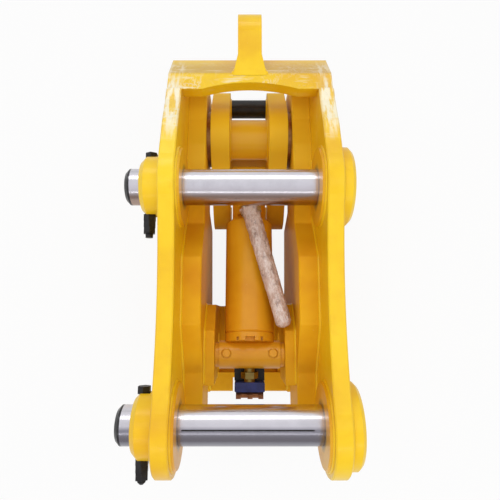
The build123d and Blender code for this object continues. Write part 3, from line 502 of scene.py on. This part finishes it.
# Stick pin: painted shade on its front side, and painted shade in the groove
GROOVED_PIN = ground_steel("grooved_pin", STEEL, painted_side=(0.003, 0.76, (0.18, 0.18, 0.22)), groove=True)
FINISHES = (
    (FILM_AND_SHEEN_YELLOW, ("side_plate", "rear_cross_plate")),
    (BLACK_END_PIN, ("link_pin",)),
    (GROOVED_PIN, ("stick_pin",)),
    # Painted shade: darker paint copies on the inner pieces and the cylinder
    (INNER_SHADED_YELLOW, ("hook_plate", "cylinder_lug", "moving_hook", "belly_plate", "lip_cross_plate")),
    (BARREL_SHADED_YELLOW, ("hub_tube", "cylinder_barrel", "barrel_end_cap", "gland", "port_block")),
    (BARREL_SHADED_YELLOW, ("foot_tube", "foot_spacers", "foot_bolts")),
    (RING_SHADED_YELLOW, ("inner_ring",)),
)

for part in frame["record"]["subparts"]:
    finish = MATERIALS[part["material_slot"]]
    for special, starts in FINISHES:
        if part["node"].startswith(starts):
            finish = special
    mesh = frame["nodes"][part["node"]].data
    mesh.materials.clear()
    mesh.materials.append(finish)


# Wrapped pair of hoses: one crinkled film tube along the route's own smooth line
ROUTE = [
    (0.008, 0.45852, -0.11776),
    (0.022, 0.40504, -0.11024),
    (0.0385, 0.34954, -0.10899),
    (0.058, 0.28204, -0.10684),
    (0.0705, 0.23440, -0.10077),
    (0.0775, 0.20699, -0.09488),
]
BUNDLE_R = 0.0215
HOSE_LEN = 0.2624
END_LEN = 0.014
MOUTH_LEN = 0.026
MOUTH_WIDE = 0.0275
MOUTH_THICK = 0.0175
RING_STEP = 0.0016
ROUND = 72


def smooth_line(name, points):
    """Points read from the smooth line that a route's points control."""
    curve = bpy.data.curves.new(name, "CURVE")
    curve.dimensions = "3D"
    curve.resolution_u = 40
    spline = curve.splines.new("NURBS")
    spline.points.add(len(points) - 1)
    for point, place in zip(spline.points, points):
        point.co = (*place, 1)
    spline.order_u = 3
    spline.use_endpoint_u = True
    holder = link(bpy.data.objects.new(name, curve))
    bpy.context.view_layer.update()
    mesh = bpy.data.meshes.new_from_object(holder.evaluated_get(bpy.context.evaluated_depsgraph_get()))
    line = [vertex.co.copy() for vertex in mesh.vertices]
    bpy.data.objects.remove(holder)
    bpy.data.meshes.remove(mesh)
    return line


hose_line = smooth_line("hose_route", ROUTE)
start_run = (hose_line[0] - hose_line[1]).normalized() * MOUTH_LEN
end_run = (hose_line[-1] - hose_line[-2]).normalized() * END_LEN
film_line = [hose_line[0] + start_run] + hose_line + [hose_line[-1] + end_run]
rings = frames_along(even_points(film_line, RING_STEP))
last_ring = len(rings) - 1
whole_len = MOUTH_LEN + HOSE_LEN + END_LEN
start_ring = round(last_ring * MOUTH_LEN / whole_len)
end_ring = round(last_ring * (MOUTH_LEN + HOSE_LEN) / whole_len)


def film_ring(i):
    """Points round the film at one place, crumpled, and rounded off over the capped ends."""
    place, side, up, along = rings[i]
    travelled = i / last_ring
    left = (1 - travelled) * whole_len
    spread = min(1.0, i / start_ring)
    wide = MOUTH_WIDE + (BUNDLE_R - MOUTH_WIDE) * spread
    thick = MOUTH_THICK + (BUNDLE_R - MOUTH_THICK) * spread
    end = math.sqrt(max(0.02, 1 - max(0.0, 1 - left / 0.017) ** 2.4))
    points = []
    for j in range(ROUND):
        turn = 2 * math.pi * j / ROUND
        lobes = 0.92 + 0.08 * math.cos(2 * turn + 0.7 + 2.2 * travelled)
        seed = Vector((math.cos(turn) * 1.6, math.sin(turn) * 1.6, travelled * 9))
        crumple = noise.fractal(seed * 1.9, 0.9, 2.1, 5)
        ridge = abs(noise.noise(seed * 2.6)) - 0.25
        fine = abs(noise.noise(seed * 6.5)) - 0.25
        radius = end * lobes * (1 + 0.06 * crumple - 0.14 * ridge - 0.09 * fine)
        radius = min(radius, 1.02)
        offset = side * (radius * wide * math.cos(turn)) + up * (radius * thick * math.sin(turn))
        points.append(place + offset)
    return points


def film_piece(name, first, last, *nodes):
    """Length of film between two rings, in place of CAD nodes or over them."""
    vertices = [point for i in range(first, last + 1) for point in film_ring(i)]
    faces = [
        (i * ROUND + j, i * ROUND + (j + 1) % ROUND, (i + 1) * ROUND + (j + 1) % ROUND, (i + 1) * ROUND + j)
        for i in range(last - first)
        for j in range(ROUND)
    ]
    for index in (first, last):
        vertices.append(rings[index][0])
        start = (index - first) * ROUND
        faces += [(start + j, start + (j + 1) % ROUND, len(vertices) - 1) for j in range(ROUND)]
    piece = mesh_object(name, vertices, faces, MATERIALS["film"])
    tidy_normals(piece)
    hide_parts(*nodes)
    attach(piece, "barrel")
    return piece


film_wrap = film_piece("film_wrapped_hoses", start_ring, end_ring, "wrapped_hoses")
film_mouth = film_piece("film_over_fittings", 0, start_ring)
film_end = film_piece("film_over_hose_caps", end_ring, last_ring, "hose_end_caps")


# Weld beads with their ripples, one mesh for each body
BEAD_STEP = 0.0014
BEAD_ROUND = 10
BEAD_RAISE = 0.0002
CIRCLE_STEPS = 120


class Beads:
    """Weld beads that are collected into one mesh."""

    def __init__(self, name, body):
        self.name = name
        self.body = body
        self.vertices = []
        self.faces = []

    def run(self, points, radius, closed=False, ripple=0.0042):
        """Bead along a line, thinning out at its ends."""
        line = even_points(points, BEAD_STEP, closed)
        frames = frames_along(line, closed)
        first = len(self.vertices)
        for i, (place, side, up, along) in enumerate(frames):
            phase = (i * BEAD_STEP / ripple) % 1
            swell = 1 + 0.10 * (phase - 0.5) + 0.10 * noise.noise(place * 160)
            shift = 0.06 * radius * math.sin(2 * math.pi * phase)
            if not closed:
                swell *= min(1, 0.35 + min(i, len(frames) - 1 - i) * 0.2)
            for j in range(BEAD_ROUND):
                turn = 2 * math.pi * j / BEAD_ROUND
                reach = radius * swell
                offset = side * (reach * math.cos(turn)) + up * (reach * math.sin(turn))
                self.vertices.append(place + offset + along * shift)
        count = len(frames)
        for i in range(count if closed else count - 1):
            after = (i + 1) % count
            for j in range(BEAD_ROUND):
                nxt = (j + 1) % BEAD_ROUND
                a, b = first + i * BEAD_ROUND, first + after * BEAD_ROUND
                self.faces.append((a + j, a + nxt, b + nxt, b + j))
        if not closed:
            last = first + (count - 1) * BEAD_ROUND
            self.faces.append(tuple(first + j for j in range(BEAD_ROUND)))
            self.faces.append(tuple(last + j for j in reversed(range(BEAD_ROUND))))

    def lines(self, xs, radius, *places):
        """The same bead at several X, along places given as (Y, Z)."""
        for x in xs:
            self.run([Vector((x, y, z)) for y, z in places], radius)

    def ring(self, x, centre, circle_r, radius):
        """Bead round a boss or ring of a given radius."""
        circle_r += BEAD_RAISE
        points = []
        for i in range(CIRCLE_STEPS):
            turn = 2 * math.pi * i / CIRCLE_STEPS
            points.append(
                Vector((x, centre[0] + circle_r * math.cos(turn), centre[1] + circle_r * math.sin(turn)))
            )
        self.run(points, radius, closed=True)

    def finish(self):
        beads = mesh_object(self.name, self.vertices, self.faces, MATERIALS["yellow_paint"])
        tidy_normals(beads)
        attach(beads, self.body)


frame_beads = Beads("frame_weld_beads", "frame")
for pin_y in PINS_Y:
    for x in (-PLATE_IN, PLATE_IN):
        frame_beads.ring(x, (pin_y, 0.0), RING_R, 0.0038)
    frame_beads.ring(PLATE_OUT + BEAD_RAISE, (pin_y, 0.0), RING_R, 0.0042)
    frame_beads.ring(-PLATE_OUT - BEAD_RAISE, (pin_y, 0.0), COLLAR_R, 0.0052)
SHELF_LINE = ((-0.055, -0.0985), (0.088, -0.0985), (0.199, -0.0322))
SHELF_LINE += ((0.351, -0.0322), (0.442, -0.0985), (0.60, -0.0985))
for x in (-PLATE_IN, PLATE_IN):
    frame_beads.ring(x, PIVOT, PIVOT_BOSS_R, 0.0045)
    frame_beads.lines((x,), 0.0042, *SHELF_LINE)
for x in (-HOOK_IN, HOOK_IN):
    frame_beads.lines((x,), 0.0042, (0.062, -0.1125), (0.184, -0.1125), (0.2465, -0.1695), (0.2475, -0.38))
    frame_beads.lines((x,), 0.004, (0.0603, -0.372), (0.0603, -0.350))
frame_beads.lines((-PLATE_IN, PLATE_IN), 0.0045, (0.727, -0.020), (0.7635, -0.0345), (0.812, -0.0755))
frame_beads.lines((-HOOK_IN, HOOK_IN), 0.0036, (0.012, -0.3448), (0.058, -0.3448))


# The lifting eye's toes follow the cross plate's top, which is bent at BEND
PLATE_START = (0.724, 0.015)
BEND = (0.772, -0.001)
TOE_SLOPE = -0.3333
TAIL_SLOPE = -0.8676


def cross_plate_top(y):
    start, slope = (PLATE_START, TOE_SLOPE) if y < BEND[0] else (BEND, TAIL_SLOPE)
    return start[1] + slope * (y - start[0])


EYE_LINE = ((0.0400, 0.768), (0.0390, BEND[0]), (0.0280, 0.815), (0.0277, 0.8385))
for sign in (-1, 1):
    frame_beads.run([Vector((sign * x, y, cross_plate_top(y))) for x, y in EYE_LINE], 0.0036)
frame_beads.finish()

hook_beads = Beads("hook_weld_beads", "hook")
for x in (-MOVER_IN, MOVER_IN):
    hook_beads.ring(x, PIVOT, HUB_R, 0.0042)
    hook_beads.ring(x, TIE_BAR, TIE_R, 0.0036)
hook_beads.finish()

# Threads on the tips of the locking bolts
THREAD_TURNS = 5
TURN_STEPS = 24
THREAD_LEN = 0.0045
ROOT_R = 0.0079
CREST = 0.0006
HALF_WIDTH = 0.00036
FADE_STEPS = 20
thread_vertices = []
thread_faces = []
for pin_y in PINS_Y:
    first = len(thread_vertices)
    steps = THREAD_TURNS * TURN_STEPS
    for i in range(steps + 1):
        turn = 2 * math.pi * i / TURN_STEPS
        y = pin_y - THREAD_START + i / steps * THREAD_LEN
        fade = min(1, i / FADE_STEPS, (steps - i) / FADE_STEPS)
        for radius, shift in ((ROOT_R, -HALF_WIDTH), (ROOT_R + CREST * fade, 0.0), (ROOT_R, HALF_WIDTH)):
            thread_vertices.append(
                Vector((BOLT_X + radius * math.cos(turn), y + shift, radius * math.sin(turn)))
            )
    for i in range(steps):
        a, b = first + 3 * i, first + 3 * i + 3
        thread_faces += [(a, a + 1, b + 1, b), (a + 1, a + 2, b + 2, b + 1)]
threads = mesh_object("locking_bolt_threads", thread_vertices, thread_faces, MATERIALS["black_steel"])
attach(threads, "frame")


# Grease nipples in the ends of the pins
def turned(profile, origin, axis, steps):
    """Rings of points turned round an axis from a list of (distance, radius)."""
    axis = axis.normalized()
    helper = Vector((0, 0, 1)) if abs(axis.z) < 0.9 else Vector((1, 0, 0))
    side = axis.cross(helper).normalized()
    up = axis.cross(side)
    vertices = []
    for distance, radius in profile:
        for j in range(steps):
            turn = 2 * math.pi * j / steps
            vertices.append(origin + axis * distance + (side * math.cos(turn) + up * math.sin(turn)) * radius)
    faces = []
    for i in range(len(profile) - 1):
        for j in range(steps):
            nxt = (j + 1) % steps
            faces.append((i * steps + j, i * steps + nxt, (i + 1) * steps + nxt, (i + 1) * steps + j))
    faces.append(tuple(range(steps)))
    faces.append(tuple((len(profile) - 1) * steps + j for j in reversed(range(steps))))
    return vertices, faces


def join_lists(lists):
    """One list of points and faces from several."""
    vertices, faces = [], []
    for more_vertices, more_faces in lists:
        shift = len(vertices)
        vertices += more_vertices
        faces += [tuple(index + shift for index in face) for face in more_faces]
    return vertices, faces


NIPPLE_HEX = ((0.0, 0.0049), (0.0052, 0.0049), (0.0062, 0.0044))
NIPPLE_BALL = ((0.0060, 0.0030), (0.0088, 0.0024), (0.0098, 0.0021), (0.0106, 0.0030))
NIPPLE_BALL += ((0.0118, 0.0033), (0.0130, 0.0029), (0.0138, 0.0017), (0.0140, 0.0005))
nipple_lists = []
for pin_y in PINS_Y:
    origin = Vector((PIN_LOW + POCKET, pin_y, 0))
    for profile, steps in ((NIPPLE_HEX, 6), (NIPPLE_BALL, 28)):
        nipple_lists.append(turned(profile, origin, Vector((-1, 0, 0)), steps))
nipples = mesh_object("turned_grease_nipples", *join_lists(nipple_lists), MATERIALS["zinc"], smooth=False)
tidy_normals(nipples)
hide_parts("grease_nipples")
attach(nipples, "frame")

# Floor, which shines by itself where the camera or a mirror sees it, and keeps the shadow
FLOOR_GLOW = 0.90
MIRRORED_FLOOR = 0.40
FLOOR_REACH = 40.0
floor_material = bpy.data.materials.new("pale_floor")
floor_material.use_nodes = True
ground = Tree(floor_material.node_tree)
surface = ground.tree.nodes["Principled BSDF"]
surface.inputs["Base Color"].default_value = (0.80, 0.80, 0.80, 1)
surface.inputs["Roughness"].default_value = 0.9
glow = ground.node("ShaderNodeEmission")
glow.inputs["Color"].default_value = (1, 1, 1, 1)
glow.inputs["Strength"].default_value = 1.0
rays = ground.node("ShaderNodeLightPath").outputs
seen = ground.math("MAXIMUM", rays["Is Camera Ray"], ground.times(rays["Is Glossy Ray"], MIRRORED_FLOOR))
blend = ground.node("ShaderNodeMixShader")
ground.join(ground.times(seen, FLOOR_GLOW), blend.inputs[0])
ground.join(surface.outputs[0], blend.inputs[1])
ground.join(glow.outputs[0], blend.inputs[2])
ground.join(blend.outputs[0], ground.tree.nodes["Material Output"].inputs["Surface"])
floor = mesh_object(
    "floor",
    [(x * FLOOR_REACH, y * FLOOR_REACH, FLOOR_Z) for x, y in ((-1, -1), (1, -1), (1, 1), (-1, 1))],
    [(0, 1, 2, 3)],
    floor_material,
    smooth=False,
)

# World: white to the camera, even for plain surfaces, darker from the front for mirrors
SKY = (
    (0.05, (0.48, 0.45, 0.46)),
    (0.16, (0.62, 0.60, 0.62)),
    (0.30, (0.78, 0.76, 0.80)),
    (0.50, (0.84, 0.84, 0.88)),
    (0.95, (0.92, 0.92, 0.94)),
)
EVEN_SKY = (0.62, 0.62, 0.62)
WHITE = (1.0, 1.0, 1.0)
world = bpy.data.worlds.new("studio")
scene.world = world
world.use_nodes = True
studio = Tree(world.node_tree)
background = studio.tree.nodes["Background"]
direction = studio.axes(studio.node("ShaderNodeTexCoord").outputs["Generated"])
sky = studio.ramp(studio.math("MULTIPLY_ADD", direction["Y"], 0.5, 0.5), *SKY)
rays = studio.node("ShaderNodeLightPath").outputs
even = studio.mix(rays["Is Diffuse Ray"], sky, EVEN_SKY)
studio.join(studio.mix(rays["Is Camera Ray"], even, WHITE), background.inputs["Color"])
background.inputs["Strength"].default_value = 1.0


def lamp(name, place, target, size, power, mirrored=False):
    """Soft lamp aimed at a point, seen in polished faces only where it is mirrored."""
    data = bpy.data.lights.new(name, "AREA")
    data.shape = "RECTANGLE"
    data.size, data.size_y = size
    data.energy = power
    obj = link(bpy.data.objects.new(name, data))
    obj.location = place
    obj.visible_glossy = mirrored
    obj.rotation_euler = (Vector(target) - Vector(place)).to_track_quat("-Z", "Y").to_euler()


lamp("overhead", (-0.25, 2.5, 1.8), (0, 0.35, 0), (1.8, 0.8), 11, mirrored=True)
lamp("front_strip", (0.0, -1.0, 1.4), (0, 0.4, 0), (1.8, 0.14), 1.6, mirrored=True)
lamp("front_fill", (0.1, -1.2, 1.5), (0, 0.6, -0.1), (1.6, 0.6), 9)
for side in (-1, 1):
    lamp("side_fill", (side * 1.0, 0.45, 1.7), (side * -0.12, 0.5, -0.1), (0.5, 1.4), 6)
